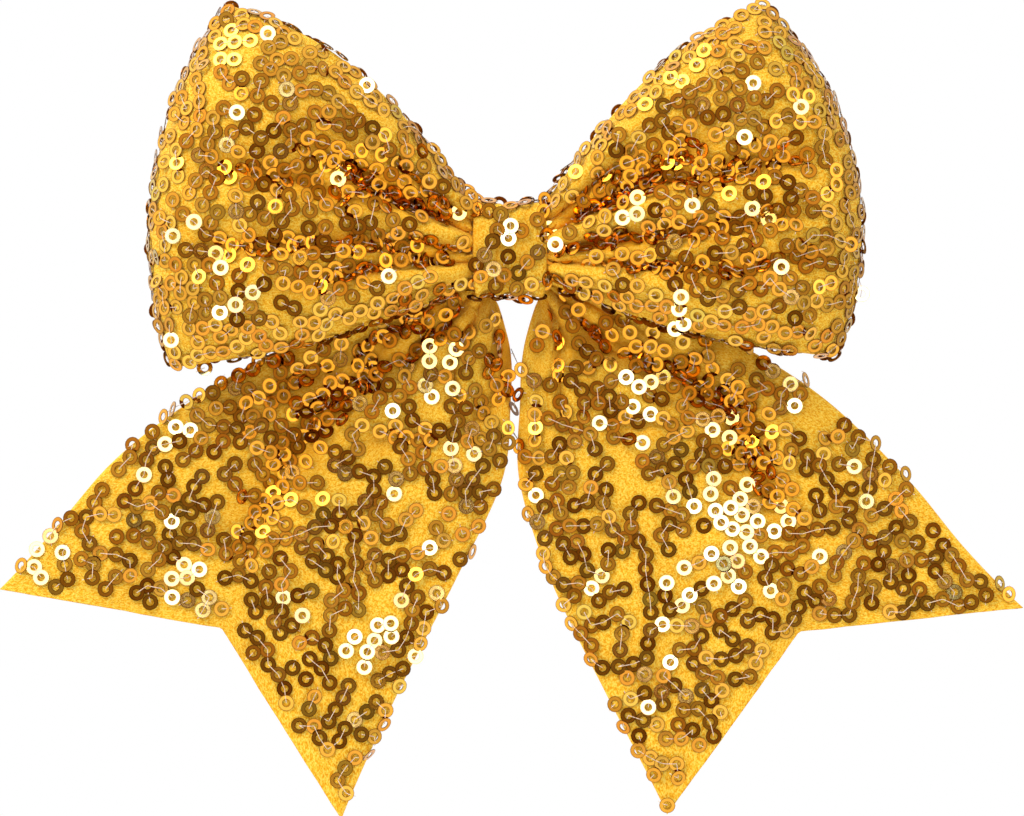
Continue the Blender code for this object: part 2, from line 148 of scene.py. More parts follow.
# Each crease below, and each ridge, is a path of (x, z, depth, width).
# Each glint is (place, reach, share of the sequins there that shine).
LEFT_LOOP_CREASES = [
    [
        (-6, 4.2, 3, 0.9), (-15.3, 7.6, 5.4, 2.6), (-22.8, 10.3, 5.6, 4.2), (-31.8, 15.6, 4.6, 5.2),
        (-44.6, 23.5, 0, 6),
    ],
    [
        (-14, 6.4, 0, 1.5), (-22, 7.6, 2.6, 2.2), (-30.8, 9, 4.2, 3), (-38.4, 12, 4.2, 3.6),
        (-51.7, 14.7, 3.4, 4), (-61, 15, 0, 5),
    ],
    [
        (-6, -0.8, 3.2, 0.8), (-16, -1.3, 5, 1.7), (-29.5, 0.9, 4.4, 2.6), (-42.8, 0.6, 4, 3.2),
        (-53.9, 0, 3.2, 3.6), (-62, -0.4, 0, 4.4),
    ],
    [
        (-15, -1.6, 0, 1.4), (-21, -2.4, 3, 2.2), (-28.2, -4.6, 3.8, 3.2), (-38.4, -7, 2.6, 4),
        (-46, -8, 0, 5),
    ],
]
RIGHT_LOOP_CREASES = [
    [
        (6, 4.1, 3, 0.9), (13.5, 7.1, 5.2, 2.2), (17.9, 9.4, 5.8, 3.2), (25, 13, 5.6, 4.4),
        (31.2, 16.5, 4.6, 5), (42.3, 22.5, 0, 6),
    ],
    [
        (20, 9.6, 0, 1.8), (25, 11.7, 3.8, 2.8), (38.4, 13.8, 4.4, 3.8), (53.4, 16.9, 3.2, 4.2),
        (59, 18, 0, 5),
    ],
    [
        (6, -1, 3.2, 0.8), (17.9, 0.2, 5, 1.6), (27.6, 1.9, 4.4, 2.4), (37.8, 3.6, 4, 3.2),
        (48.9, 5.8, 3.4, 3.6), (58, 6.8, 0, 4.4),
    ],
    [
        (14, -1.4, 0, 1.2), (22.4, -2.8, 3.4, 2), (31.2, -3.9, 4, 2.8), (42.3, -4.3, 3.4, 3.4),
        (53.4, -1.3, 2.4, 3.6), (60, 2.3, 0, 4.4),
    ],
]
LOOPS = {
    "left": {
        "side": -1,
        "top": (math.radians(138.7), 69.8),
        "bottom": (math.radians(199.5), 66.8),
        "bulge": -0.9,
        "crown": 7.2,
        "belly": 2.8,
        "creases": LEFT_LOOP_CREASES,
        "glints": [((-40, 30), 26, 0.03), ((-52, -8), 12, 0.14), ((-9, 6.2), 2.6, 0.9)],
    },
    "right": {
        "side": 1,
        "top": (math.radians(44.7), 65.6),
        "bottom": (math.radians(-18.6), 63.6),
        "bulge": 1.3,
        "crown": 5.8,
        "belly": 2.4,
        "creases": RIGHT_LOOP_CREASES,
        "glints": [
            ((42, 25), 24, 0.02), ((9, 2.4), 3, 0.9), ((24, 7), 3, 0.4), ((52, 0), 12, 0.06),
            ((32, -9), 6, 0.15),
        ],
    },
}
# The creases on both loops' backs are the same, with x as the distance from the middle.
BACK_CREASES = [
    [(6, 4, 1.8, 1.4), (56, 24, 0, 4.5)],
    [(6, -0.5, 1.8, 1.4), (60, 4, 0, 4.5)],
    [(6, 2, 1.8, 1.4), (45, 33, 0, 4.5)],
    [(6, -3, 1.8, 1.4), (55, -12, 0, 4.5)],
]

TAIL_Y = -3.75
TAIL_GRID = (170, 110)
TAIL_GATHERS = 4.5  # fine folds across a tail where it leaves the knot
TAIL_GATHER_DEPTH = 1.5
TAIL_WRINKLES = ((0.9, 13.0, 5.3), (0.25, 4.2, 2.9))
TAIL_CREASE_SHARE = 0.8
TAIL_DENSITY = 0.92  # tails' sequins against the loops'
NOTCH_DEPTH = 17.0
LEFT_TAIL_CREASES = [
    [
        (-7, -8.3, 1.7, 1), (-14.5, -12.5, 3, 1.8), (-22.8, -17, 3.4, 3.4), (-29, -24, 3.8, 5.2),
        (-37.5, -33, 4, 5.6), (-43, -42, 3.8, 5.2), (-49, -53, 2.6, 4.8), (-54, -62, 0, 5),
    ],
    [(-14, -12.5, 0, 1.6), (-26, -20, 2.6, 3.2), (-40, -25, 3, 4.2), (-52, -31, 1.8, 5), (-60, -38, 0, 6)],
    [
        (-7.4, -10.5, 2, 1.1), (-11.5, -14.5, 3.4, 2.2), (-15.8, -17.4, 3.4, 2.8), (-19, -21, 2.4, 3.4),
        (-21, -29, 0, 4.2),
    ],
    [(-10.4, -13, 1, 1), (-10.6, -19, 2.2, 1.2), (-10.3, -26, 1.8, 1.4), (-9.6, -32, 0, 1.8)],
    [
        (-0.6, -9, 2, 2.6), (-0.6, -18, 3.8, 3.4), (-1, -27, 3.4, 3), (-7.4, -33, 1.8, 2.2),
        (-10.5, -34.5, 0, 2),
    ],
    [(-33, -36.5, 0, 2.4), (-25, -36, 2.2, 2.8), (-16, -35, 2, 2.6), (-8.5, -39, 0, 2.4)],
]
LEFT_TAIL_RIDGES = [
    [
        (-18, -14.5, 0.6, 1.2), (-23.2, -19.5, 1.6, 1.8), (-23.4, -24.8, 1.8, 2.2),
        (-29.1, -30.6, 2.2, 2.8), (-35, -34, 2, 3.4), (-40, -42, 1.2, 4.2), (-45, -54, 0, 5),
    ],
]
RIGHT_TAIL_CREASES = [
    [
        (9.6, -8.2, 2, 1), (15.6, -13.5, 3.6, 1.8), (21.4, -17.1, 3.4, 2.6), (27.6, -21.6, 3.4, 3.4),
        (34.8, -25.1, 4.4, 4.2), (42.3, -30.8, 5, 4.6), (47.5, -41.5, 4.2, 4.4), (52.4, -50.5, 2.4, 4.6),
        (54.5, -60, 0, 5),
    ],
    [
        (7.2, -10.4, 2.4, 1.1), (8.1, -12.6, 4, 1.8), (9.5, -23.7, 2.6, 1.6), (10, -31, 1.6, 1.6),
        (12, -38, 0, 2.4),
    ],
    [(10, -14, 2, 2.4), (14.9, -16.7, 3.4, 3.4), (21, -20, 2.2, 3.2), (26, -23, 0, 3)],
    [(1.8, -27, 1, 2.2), (2.2, -36, 2.4, 2.8), (4, -43.5, 2, 3), (7, -50, 0, 3.2)],
    [(12, -31, 0, 2.4), (20, -34, 1.6, 2.8), (29, -33, 1.8, 2.8), (37, -31, 0, 2.6)],
    [(22, -29, 0, 2.6), (32, -27, 1.8, 2.6), (40, -28, 0, 2.4)],
]
RIGHT_TAIL_RIDGES = [
    [(12, -9.5, 1, 1.6), (20.5, -14.2, 1.4, 2), (28.5, -17.5, 1.2, 2.4), (38, -20, 0, 3)],
    [(33, -43, 0, 6), (39, -54, 1.6, 7), (43, -64, 0, 8)],
]
TAILS = {
    "left": {
        "side": -1,
        "outer": [(-8.3, -4.7), (-26, -11), (-44, -19), (-60, -28), (-75, -39.5), (-86, -52.5)],
        "inner": [
            (-3.3, -9), (-0.4, -18.6), (-0.1, -29), (-1.5, -43.6), (-10.2, -62.4), (-21.4, -84),
            (-32.4, -106.8),
        ],
        "cut_angle": math.radians(146.1),
        "creases": LEFT_TAIL_CREASES,
        "ridges": LEFT_TAIL_RIDGES,
        "bare_hem": 2.6,
        "glints": [
            ((-26, -70), 6.5, 0.7), ((-60, -65), 5.5, 0.85), ((-63, -33), 4.5, 0.7), ((-88, -58), 6, 0.7),
            ((-30, -80), 5, 0.4), ((-14, -21), 5, 0.5),
        ],
    },
    "right": {
        "side": 1,
        "outer": [(8.3, -4.7), (26, -10.6), (43, -17.6), (60, -28.2), (75, -42.6), (86, -56.2)],
        "inner": [
            (6.2, -9), (3.1, -18.6), (2.1, -29), (1.9, -43.6), (7.6, -62.4), (18.3, -84), (30.3, -106),
        ],
        "cut_angle": math.radians(30.2),
        "creases": RIGHT_TAIL_CREASES,
        "ridges": RIGHT_TAIL_RIDGES,
        "bare_hem": 1.7,
        "glints": [
            ((41, -52), 9.5, 0.94), ((36, -63), 7.5, 0.85), ((46, -64), 4.5, 0.6), ((25, -27), 4.5, 0.6),
            ((40, -33), 3.5, 0.8), ((18, -60), 4.5, 0.35),
        ],
    },
}

BAND_GRID = (190, 44)
BAND_ROUNDNESS = 2.8  # the power of the band's superellipse
BAND_LAP = 0.5
BAND_GLINTS = [((0.6, 3.2), 1.4, 1.0)]

CAD_FINISHES = {
    "nickel": ["clip_bow_jaw", "clip_head_jaw", "clip_pin"],
    "glue": ["glue_pad"],
    "thread": ["binding_thread"],
    "gathered": ["loops_gather", "tails_gather"],
}

# ---- Light ----
LIT_FROM = (-0.5, -0.35, 0.8)
TENT_STRENGTH = 1.56
# The tent's colour by how nearly a direction runs out of the bow's front.
TENT_STOPS = [
    (0.0, (1.0, 1.0, 0.98)),
    (0.55, (1.0, 0.98, 0.93)),
    (0.78, (0.56, 0.48, 0.38)),
    (0.93, (0.38, 0.28, 0.17)),
    (0.985, (0.18, 0.12, 0.07)),
]
# Its brightness by how nearly a direction points to LIT_FROM.
SHADE_STOPS = [(0.0, (0.36, 0.36, 0.36)), (0.5, (0.56, 0.56, 0.56)), (0.9, (0.98, 0.98, 0.98))]
FLOOR_RADIUS = 360
FLOOR_DROP = 45  # from the tails' tips
FLOOR_SIDES = 96

# ---- Colours, linear ----
GOLD_CLOTH = (0.92, 0.51, 0.026)
GOLD_CLOTH_PALE = (0.96, 0.68, 0.095)
GOLD_CLOTH_DEEP = (0.78, 0.33, 0.009)
# painted shade: the orange that the knit takes down in its creases stands in for their shade and the warm
# light bounced into them
CREASE_PAINTED_SHADE = (0.96, 0.40, 0.010)
SEQUIN_GOLD = (0.90, 0.50, 0.060)
SEQUIN_AMBER = (0.80, 0.38, 0.032)
SEQUIN_BRONZE = (0.66, 0.24, 0.014)
SEQUIN_OLIVE = (0.70, 0.52, 0.075)
# painted shade: the dark outline along each sequin's rim and hole stands in for the shade of its edge
RIM_PAINTED_SHADE = (0.20, 0.07, 0.003)
# painted reflection and shade: the orange of sequins down in creases stands in for the gold cloth they
# mirror there and the shade there
SEQUIN_PAINTED_CREASE_REFLECTION = (0.96, 0.38, 0.014)
RIBBON_DARK = (0.50, 0.25, 0.022)
RIBBON_LIGHT = (0.80, 0.50, 0.075)
THREAD_PALE = (0.92, 0.78, 0.56)
THREAD_DARK = (0.70, 0.50, 0.38)
GLUE_CLOUDY = (0.86, 0.80, 0.62)
GLUE_AMBER = (0.74, 0.62, 0.38)
NICKEL = (0.72, 0.70, 0.66)
NICKEL_RUBBED = (0.60, 0.58, 0.55)
WHITE = (1.0, 1.0, 1.0)


def add_object(name, data):
    obj = bpy.data.objects.new(name, data)
    bpy.context.scene.collection.objects.link(obj)
    return obj


# ---- Node helpers ----
def new_material(name):
    material = bpy.data.materials.new(name)
    material.use_nodes = True
    tree = material.node_tree
    return material, tree, tree.nodes["Principled BSDF"]


def add_node(tree, kind, **settings):
    node = tree.nodes.new("ShaderNode" + kind)
    for key, value in settings.items():
        setattr(node, key, value)
    return node


def set_inputs(node, **values):
    for key, value in values.items():
        feed(node, key.replace("_", " "), value)


def feed(node, key, value):
    if isinstance(value, bpy.types.NodeSocket):
        node.id_data.links.new(value, node.inputs[key])
    else:
        node.inputs[key].default_value = value


def coordinates(tree, kind):
    return add_node(tree, "TexCoord").outputs[kind]


def attribute(tree, name):
    return add_node(tree, "Attribute", attribute_name=name).outputs["Fac"]


def ramp(tree, source, stops):
    """A colour ramp with (position, colour) stops, fed from source."""
    node = add_node(tree, "ValToRGB")
    elements = node.color_ramp.elements
    while len(elements) < len(stops):
        elements.new(0.5)
    for element, (position, colour) in zip(elements, stops):
        element.position = position
        element.color = (*colour, 1)
    tree.links.new(source, node.inputs["Fac"])
    return node.outputs["Color"]


def mix(tree, factor, a, b, blend="MIX"):
    """Mixes two colours; each of factor, a and b is a socket or a constant."""
    node = add_node(tree, "Mix", data_type="RGBA", blend_type=blend)
    for index, value in ((0, factor), (6, a), (7, b)):
        feed(node, index, (*value, 1) if isinstance(value, tuple) else value)
    return node.outputs[2]


def maths(tree, operation, *values):
    """The operation on values, each a socket or a constant."""
    node = add_node(tree, "Math", operation=operation)
    for index, value in enumerate(values):
        feed(node, index, value)
    return node.outputs[0]


def mottled(tree, colour, pattern, stops):
    """The colour, shaded by a ramp of the pattern."""
    return mix(tree, 1.0, colour, ramp(tree, pattern, stops), "MULTIPLY")


def surface(tree, shader, colour, height, strength, distance):
    """Gives the shader a colour, and a bump of that strength and distance from height."""
    node = add_node(tree, "Bump")
    set_inputs(node, Height=height, Strength=strength, Distance=distance)
    set_inputs(shader, Base_Color=colour, Normal=node.outputs["Normal"])


def noise_texture(tree, vector, scale, detail):
    node = add_node(tree, "TexNoise")
    set_inputs(node, Vector=vector, Scale=scale, Detail=detail)
    return node.outputs["Fac"]


def wave_texture(tree, vector, scale, direction, distortion):
    node = add_node(tree, "TexWave", bands_direction=direction)
    set_inputs(node, Vector=vector, Scale=scale, Distortion=distortion)
    return node.outputs["Fac"]


# ---- Materials ----
def knit_material():
    """Fine gold knit: small slanting stitches, mottled, and painted shade down in its creases, orange like
    the light the gold cloth bounces there.
    """
    material, tree, shader = new_material("gold_knit")
    uv = coordinates(tree, "UV")
    stitch = noise_texture(tree, uv, 1.7, 1)
    grain = noise_texture(tree, uv, 3.6, 2)
    blotch = noise_texture(tree, uv, 0.11, 2)
    pattern = maths(tree, "MULTIPLY_ADD", stitch, 0.7, grain)
    colour = ramp(tree, pattern, [(0.69, GOLD_CLOTH_DEEP), (0.83, GOLD_CLOTH), (0.98, GOLD_CLOTH_PALE)])
    colour = mottled(tree, colour, blotch, [(0.35, (0.94, 0.90, 0.86)), (0.62, WHITE)])
    # painted shade: the knit turns orange where the crease attribute says the cloth is creased
    colour = mix(tree, attribute(tree, "crease"), colour, CREASE_PAINTED_SHADE)
    set_inputs(shader, Roughness=0.55, Specular_IOR_Level=0.22, Specular_Tint=(1.0, 0.72, 0.25, 1))
    set_inputs(shader, Sheen_Weight=0.12, Sheen_Roughness=0.4, Sheen_Tint=(1.0, 0.70, 0.20, 1))
    surface(tree, shader, colour, pattern, 1.0, 0.00018)
    return material


def grosgrain_material(name, kind, scale):
    """Backing ribbon with a rib every 0.7 mm. scale turns the coordinates into millimetres."""
    material, tree, shader = new_material(name)
    to_mm = add_node(tree, "Mapping")
    set_inputs(to_mm, Vector=coordinates(tree, kind), Scale=(scale, scale, scale))
    uv = to_mm.outputs["Vector"]
    ribs = wave_texture(tree, uv, 0.45, "X", 0.15)
    threads = wave_texture(tree, uv, 1.6, "Y", 0.6)
    grain = noise_texture(tree, uv, 1.4, 3)
    height = maths(tree, "MULTIPLY_ADD", threads, 0.25, ribs)
    colour = ramp(tree, height, [(0.1, RIBBON_DARK), (0.9, RIBBON_LIGHT)])
    colour = mottled(tree, colour, grain, [(0.3, (0.86, 0.84, 0.80)), (0.7, WHITE)])
    set_inputs(shader, Roughness=0.6, Sheen_Weight=0.3, Sheen_Roughness=0.5, Sheen_Tint=(1, 0.85, 0.5, 1))
    surface(tree, shader, colour, height, 0.7, 0.00018)
    return material


def sequin_material():
    """Gold-metallised film: each sequin has its own tone, and faint rolling lines across it, with a painted
    reflection of the gold cloth and painted shade in creases, and painted shade along its rim and hole.
    """
    material, tree, shader = new_material("sequin_film")
    smear = noise_texture(tree, coordinates(tree, "Object"), 900.0, 2)
    tones = [(0.0, SEQUIN_BRONZE), (0.5, SEQUIN_AMBER), (0.85, SEQUIN_GOLD), (1.0, SEQUIN_OLIVE)]
    colour = ramp(tree, attribute(tree, "tone"), tones)
    # painted reflection and shade: sequins in creases turn orange
    colour = mix(tree, attribute(tree, "crease"), colour, SEQUIN_PAINTED_CREASE_REFLECTION)
    # painted shade along each sequin's rim and hole
    colour = mix(tree, attribute(tree, "rim"), colour, RIM_PAINTED_SHADE)
    colour = mottled(tree, colour, smear, [(0.3, (0.93, 0.91, 0.88)), (0.7, WHITE)])
    rough = maths(tree, "MULTIPLY_ADD", smear, 0.05, 0.075)
    set_inputs(shader, Roughness=rough, Metallic=1.0, Coat_Weight=0.25, Coat_Roughness=0.08)
    surface(tree, shader, colour, smear, 0.03, 0.00005)
    return material


def thread_material():
    """Pale spun thread."""
    material, tree, shader = new_material("pale_thread")
    twist = noise_texture(tree, coordinates(tree, "Object"), 5200.0, 2)
    colour = ramp(tree, twist, [(0.3, THREAD_DARK), (0.65, THREAD_PALE)])
    set_inputs(shader, Roughness=0.45, Sheen_Weight=0.4)
    surface(tree, shader, colour, twist, 0.4, 0.00004)
    return material


def nickel_material():
    """Stamped nickel-plated steel: drawn lines along the strip and a few rubbed patches."""
    material, tree, shader = new_material("nickel_steel")
    place = coordinates(tree, "Object")
    stretch = add_node(tree, "Mapping")
    set_inputs(stretch, Vector=place, Scale=(60.0, 2600.0, 2600.0))
    lines = noise_texture(tree, stretch.outputs["Vector"], 1.0, 3)
    rub = noise_texture(tree, place, 240.0, 3)
    colour = ramp(tree, rub, [(0.35, NICKEL_RUBBED), (0.6, NICKEL)])
    rough = maths(tree, "MULTIPLY_ADD", lines, 0.16, maths(tree, "MULTIPLY", rub, 0.42))
    set_inputs(shader, Roughness=rough, Metallic=1.0)
    surface(tree, shader, colour, lines, 0.15, 0.00003)
    return material


def glue_material():
    """Set hot glue: cloudy, glossy and a little lumpy."""
    material, tree, shader = new_material("hot_glue")
    cloud = noise_texture(tree, coordinates(tree, "Object"), 420.0, 3)
    colour = ramp(tree, cloud, [(0.3, GLUE_AMBER), (0.7, GLUE_CLOUDY)])
    set_inputs(shader, Roughness=0.22, Subsurface_Weight=0.35, Subsurface_Scale=0.002)
    surface(tree, shader, colour, cloud, 0.5, 0.0004)
    return material


# ---- Mesh helpers ----
def smooth_path(points, t):
    """Points at shares t (an array) of a Catmull-Rom curve through the points."""
    points = np.asarray(points, float)
    last = len(points) - 1
    i = np.clip((np.asarray(t) * last).astype(int), 0, last - 1)
    f = (np.asarray(t) * last - i)[..., None]
    a, b, c, d = (points[np.clip(i + k, 0, last)] for k in (-1, 0, 1, 2))
    square, cube = 2 * a - 5 * b + 4 * c - d, 3 * b - a - 3 * c + d
    return 0.5 * (2 * b + (c - a) * f + square * f**2 + cube * f**3)


def unit(vectors):
    return vectors / np.maximum(np.linalg.norm(vectors, axis=-1, keepdims=True), 1e-9)


def normals_of(grid, outward):
    """Unit normals of a grid of points; outward is 1 or -1 and says which side is meant."""
    return outward * unit(np.cross(np.gradient(grid, axis=0), np.gradient(grid, axis=1)))


def blurred(grid, passes):
    """The grid averaged with its neighbours, its rim kept."""
    grid = grid.copy()
    for _ in range(passes):
        inner = grid[:-2, 1:-1] + grid[2:, 1:-1] + grid[1:-1, :-2] + grid[1:-1, 2:]
        grid[1:-1, 1:-1] = 0.5 * grid[1:-1, 1:-1] + 0.125 * inner
    return grid


def deepest(x, z, creases):
    """The depth of the deepest of the creases at each (x, z)."""
    depth = np.zeros(x.shape)
    for crease in creases:
        depth = np.maximum(depth, crease_shape(x, z, crease))
    return depth


def crease_shape(x, z, crease):
    """How deep a crease, given as a path of (x, z, depth, width), is at each (x, z)."""
    crease = np.asarray(crease, float)
    path, depths, widths = crease[:, :2], crease[:, 2], crease[:, 3]
    steps = np.arange(len(path))
    nearest = np.full(x.shape, 1e9)
    along = np.zeros(x.shape)
    for k in range(len(path) - 1):
        (ax, az), (bx, bz) = path[k], path[k + 1]
        dx, dz = bx - ax, bz - az
        t = np.clip(((x - ax) * dx + (z - az) * dz) / (dx * dx + dz * dz), 0, 1)
        distance = np.hypot(x - ax - t * dx, z - az - t * dz)
        closer = distance < nearest
        nearest = np.where(closer, distance, nearest)
        along = np.where(closer, k + t, along)
    depth = np.interp(along, steps, depths)
    width = np.interp(along, steps, widths)
    return depth * np.exp(-((nearest / width) ** 1.5))


def wrinkles(grid, scale, seed):
    """Smooth noise at each point of a grid, about -1 to 1, with features about scale long."""
    flat = grid.reshape(-1, 3) / scale + seed
    return np.array([noise.noise(Vector(p)) for p in flat]).reshape(grid.shape[:2])


def tube_faces(rings, sides):
    """The side faces of a tube, and the point numbers of its rings."""
    index = np.arange(rings * sides).reshape(rings, sides)
    after = np.roll(index, -1, axis=1)
    walls = np.stack([index[:-1], after[:-1], after[1:], index[1:]], axis=2)
    return walls.reshape(-1, 4), index


def make_mesh(name, points, faces, uv=None, attributes=None, smooth=True):
    """An object from arrays: points in millimetres, quads, and per-point values."""
    mesh = bpy.data.meshes.new(name)
    faces = np.asarray(faces, np.int32)
    mesh.vertices.add(len(points))
    mesh.vertices.foreach_set("co", (np.asarray(points) * MM).astype(np.float32).ravel())
    mesh.loops.add(faces.size)
    mesh.loops.foreach_set("vertex_index", faces.ravel())
    mesh.polygons.add(len(faces))
    mesh.polygons.foreach_set("loop_start", np.arange(0, faces.size, faces.shape[1], dtype=np.int32))
    mesh.polygons.foreach_set("use_smooth", np.full(len(faces), smooth))
    mesh.update(calc_edges=True)
    if uv is not None:
        layer = mesh.uv_layers.new(name="cloth")
        layer.data.foreach_set("uv", np.asarray(uv, np.float32)[faces.ravel()].ravel())
    for key, values in (attributes or {}).items():
        layer = mesh.attributes.new(key, "FLOAT", "POINT")
        layer.data.foreach_set("value", np.asarray(values, np.float32))
    mesh.validate()
    return add_object(name, mesh)


def cloth_piece(name, grid, normals, material, crease=None):
    """A closed sheet about a grid of points, with its own lengths in millimetres as UVs."""
    rows, columns = grid.shape[:2]
    count = rows * columns
    along = np.linalg.norm(np.diff(grid, axis=0), axis=2).mean(axis=1)
    across = np.linalg.norm(np.diff(grid, axis=1), axis=2)
    across = across[rows // 3 : 2 * rows // 3].mean(axis=0)
    u = np.concatenate([[0], np.cumsum(along)])
    v = np.concatenate([[0], np.cumsum(across)])
    uv = np.stack(np.meshgrid(u, v, indexing="ij"), axis=2).reshape(-1, 2)
    half = normals * THICK / 2
    points = np.concatenate([(grid + half).reshape(-1, 3), (grid - half).reshape(-1, 3)])
    index = np.arange(count).reshape(rows, columns)
    a, b, c, d = index[:-1, :-1], index[:-1, 1:], index[1:, 1:], index[1:, :-1]
    top = np.stack([a, b, c, d], axis=2).reshape(-1, 4)
    rim = np.concatenate([index[0, :-1], index[:-1, -1], index[-1, :0:-1], index[:0:-1, 0]])
    after = np.roll(rim, -1)
    edge = np.stack([after, rim, rim + count, after + count], axis=1)
    faces = np.concatenate([top, top[:, ::-1] + count, edge])
    low_first = np.cross(grid[0, 1] - grid[0, 0], grid[1, 0] - grid[0, 0]) @ normals[0, 0]
    if low_first < 0:
        faces = faces[:, ::-1]
    values = {} if crease is None else {"crease": np.tile(crease.ravel(), 2)}
    obj = make_mesh(name, points, faces, np.tile(uv, (2, 1)), values)
    obj.data.materials.append(material)
    return obj


def smoothed(vectors):
    """Unit vectors along an edge, each averaged with its neighbours."""
    for _ in range(12):
        middle = vectors[:-2] + 2 * vectors[1:-1] + vectors[2:]
        vectors = np.concatenate([vectors[:1], middle / 4, vectors[-1:]])
    return unit(vectors)


def hemmed(grid, normals, crease):
    """The grid with each long edge turned over to the back, as the strip's folded edges are."""
    hems = []
    for end, neighbour in ((0, 1), (-1, -2)):
        hem = []
        out = smoothed(unit(grid[:, end] - grid[:, neighbour]))
        normal = normals[:, end]
        for angle in np.linspace(0, math.pi, TURN_STEPS + 1)[1:]:
            turned = out * HEM_RADIUS * math.sin(angle) + normal * HEM_RADIUS * (math.cos(angle) - 1)
            facing = normal * math.cos(angle) + out * math.sin(angle)
            hem.append((grid[:, end] + turned, facing))
        for width in np.linspace(0, HEM_WIDTH, HEM_STEPS + 1)[1:]:
            hem.append((grid[:, end] - out * width - normal * 2 * HEM_RADIUS, -normal))
        hems.append(hem)
    before, after = hems[0][::-1], hems[1]
    columns = before + list(zip(grid.swapaxes(0, 1), normals.swapaxes(0, 1))) + after
    points = np.stack([place for place, _ in columns], axis=1)
    facing = np.stack([normal for _, normal in columns], axis=1)
    pad = ((0, 0), (len(before), len(after)))
    return points, unit(facing), np.pad(crease, pad, mode="edge")


def open_cloth(wrapped, start=-1, fade=1):
    """How much of its sequins a hemmed grid holds at each point: none on its two turned edges,
    none within start of the knot's middle, and all of them from fade further out."""
    distance = np.hypot(wrapped[..., 0], wrapped[..., 2])
    density = np.clip((distance - start) / fade, 0, 1)
    density[:, :BARE_COLUMNS] = 0
    density[:, -BARE_COLUMNS:] = 0
    return density


def strip(name, ribbon, grid, crease, outward, finishes):
    """A strip's hemmed cloth and the ribbon behind it, and the cloth's grid, normals and creases."""
    normals = normals_of(grid, outward)
    wrapped, facing, deep = hemmed(grid + normals * CLOTH_OFFSET, normals, crease)
    cloth = cloth_piece(f"{name}_cloth", wrapped, facing, finishes["knit"], deep)
    behind = grid + normals * LINING_OFFSET
    lining = cloth_piece(f"{name}_{ribbon}", behind, normals, finishes["grosgrain"])
    return cloth, lining, wrapped, facing, deep


def mount(slots):
    """Each piece rides on the bow; the material slot given with it is not used."""
    for piece, slot in slots.items():
        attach(piece, "bow")


# ---- Sequins ----
class Spots:
    """Placed sequins, kept in cells so that near ones are found quickly."""

    def __init__(self):
        self.cells = {}

    def near(self, place, distance, but=None):
        i, j, k = (place // CELL).astype(int)
        for di, dj, dk in itertools.product((-1, 0, 1), repeat=3):
            for other in self.cells.get((i + di, j + dj, k + dk), ()):
                if other is not but and np.linalg.norm(other - place) < distance:
                    return True
        return False

    def add(self, place):
        key = tuple((place // CELL).astype(int))
        self.cells.setdefault(key, []).append(place)


def at(grid, s, t):
    """The grid's value at fractional row s and column t."""
    i = min(int(s), grid.shape[0] - 2)
    j = min(int(t), grid.shape[1] - 2)
    f, g = s - i, t - j
    near = grid[i, j] * (1 - g) + grid[i, j + 1] * g
    far = grid[i + 1, j] * (1 - g) + grid[i + 1, j + 1] * g
    return near * (1 - f) + far * f


def sewn_chains(grid, density, crease):
    """Places sequins in short wandering chains, as they are sewn. density is 0 to 1 at each grid point.

    Returns (fractional row, fractional column, place, index of the next in the chain or -1) for each."""
    rows, columns = grid.shape[:2]
    side_a = np.diff(grid, axis=0)[:, :-1]
    side_b = np.diff(grid, axis=1)[:-1]
    areas = np.linalg.norm(np.cross(side_a, side_b), axis=2)
    areas = areas * (density * (1 + CREASE_DENSITY * crease))[:-1, :-1]
    chances = (areas / areas.sum()).ravel()
    wanted = int(areas.sum() * SEQUINS_PER_MM2)
    starts = rng.choice(len(chances), size=wanted * 6, p=chances)
    spots = Spots()
    found = []
    for start in starts:
        if len(found) >= wanted:
            break
        s = start // (columns - 1) + rng.random()
        t = start % (columns - 1) + rng.random()
        place = at(grid, s, t)
        if spots.near(place, SPACING - CREASE_CROWDING * at(crease, s, t)):
            continue
        spots.add(place)
        found.append([s, t, place, -1])
        heading = rng.uniform(0, 2 * math.pi)
        for _ in range(rng.integers(1, LONGEST_CHAIN)):
            step = grow(grid, density, crease, spots, found[-1], heading)
            if step is None:
                break
            heading, spot = step
            found[-1][3] = len(found)
            spots.add(spot[2])
            found.append(spot)
    return found


def grow(grid, density, crease, spots, last, heading):
    """The next sequin of a chain: (its heading, its entry), or None where there's no room."""
    s, t, place, _ = last
    i, j = min(int(s), grid.shape[0] - 2), min(int(t), grid.shape[1] - 2)
    ds = grid[i + 1, j] - grid[i, j]
    dt = grid[i, j + 1] - grid[i, j]
    e1 = ds / max(np.linalg.norm(ds), 1e-6)
    e2 = dt - e1 * (dt @ e1)
    e2 = e2 / max(np.linalg.norm(e2), 1e-6)
    basis = np.array([[ds @ e1, dt @ e1], [ds @ e2, dt @ e2]])
    if abs(np.linalg.det(basis)) < 1e-5:
        return None
    inverse = np.linalg.inv(basis)
    for _ in range(5):
        turned = heading + rng.normal(0, CHAIN_WANDER)
        length = rng.uniform(*CHAIN_STEP)
        move = inverse @ (length * np.array([math.cos(turned), math.sin(turned)]))
        s2, t2 = s + move[0], t + move[1]
        if not (0.5 < s2 < grid.shape[0] - 1.5 and 0.5 < t2 < grid.shape[1] - 1.5):
            continue
        spot = at(grid, s2, t2)
        room = CHAIN_SPACING - CREASE_CROWDING * at(crease, s2, t2)
        if at(density, s2, t2) < rng.random() or spots.near(spot, room, but=place):
            continue
        if not CHAIN_REACH[0] < np.linalg.norm(spot - place) < CHAIN_REACH[1]:
            continue
        return turned, [s2, t2, spot, -1]
    return None


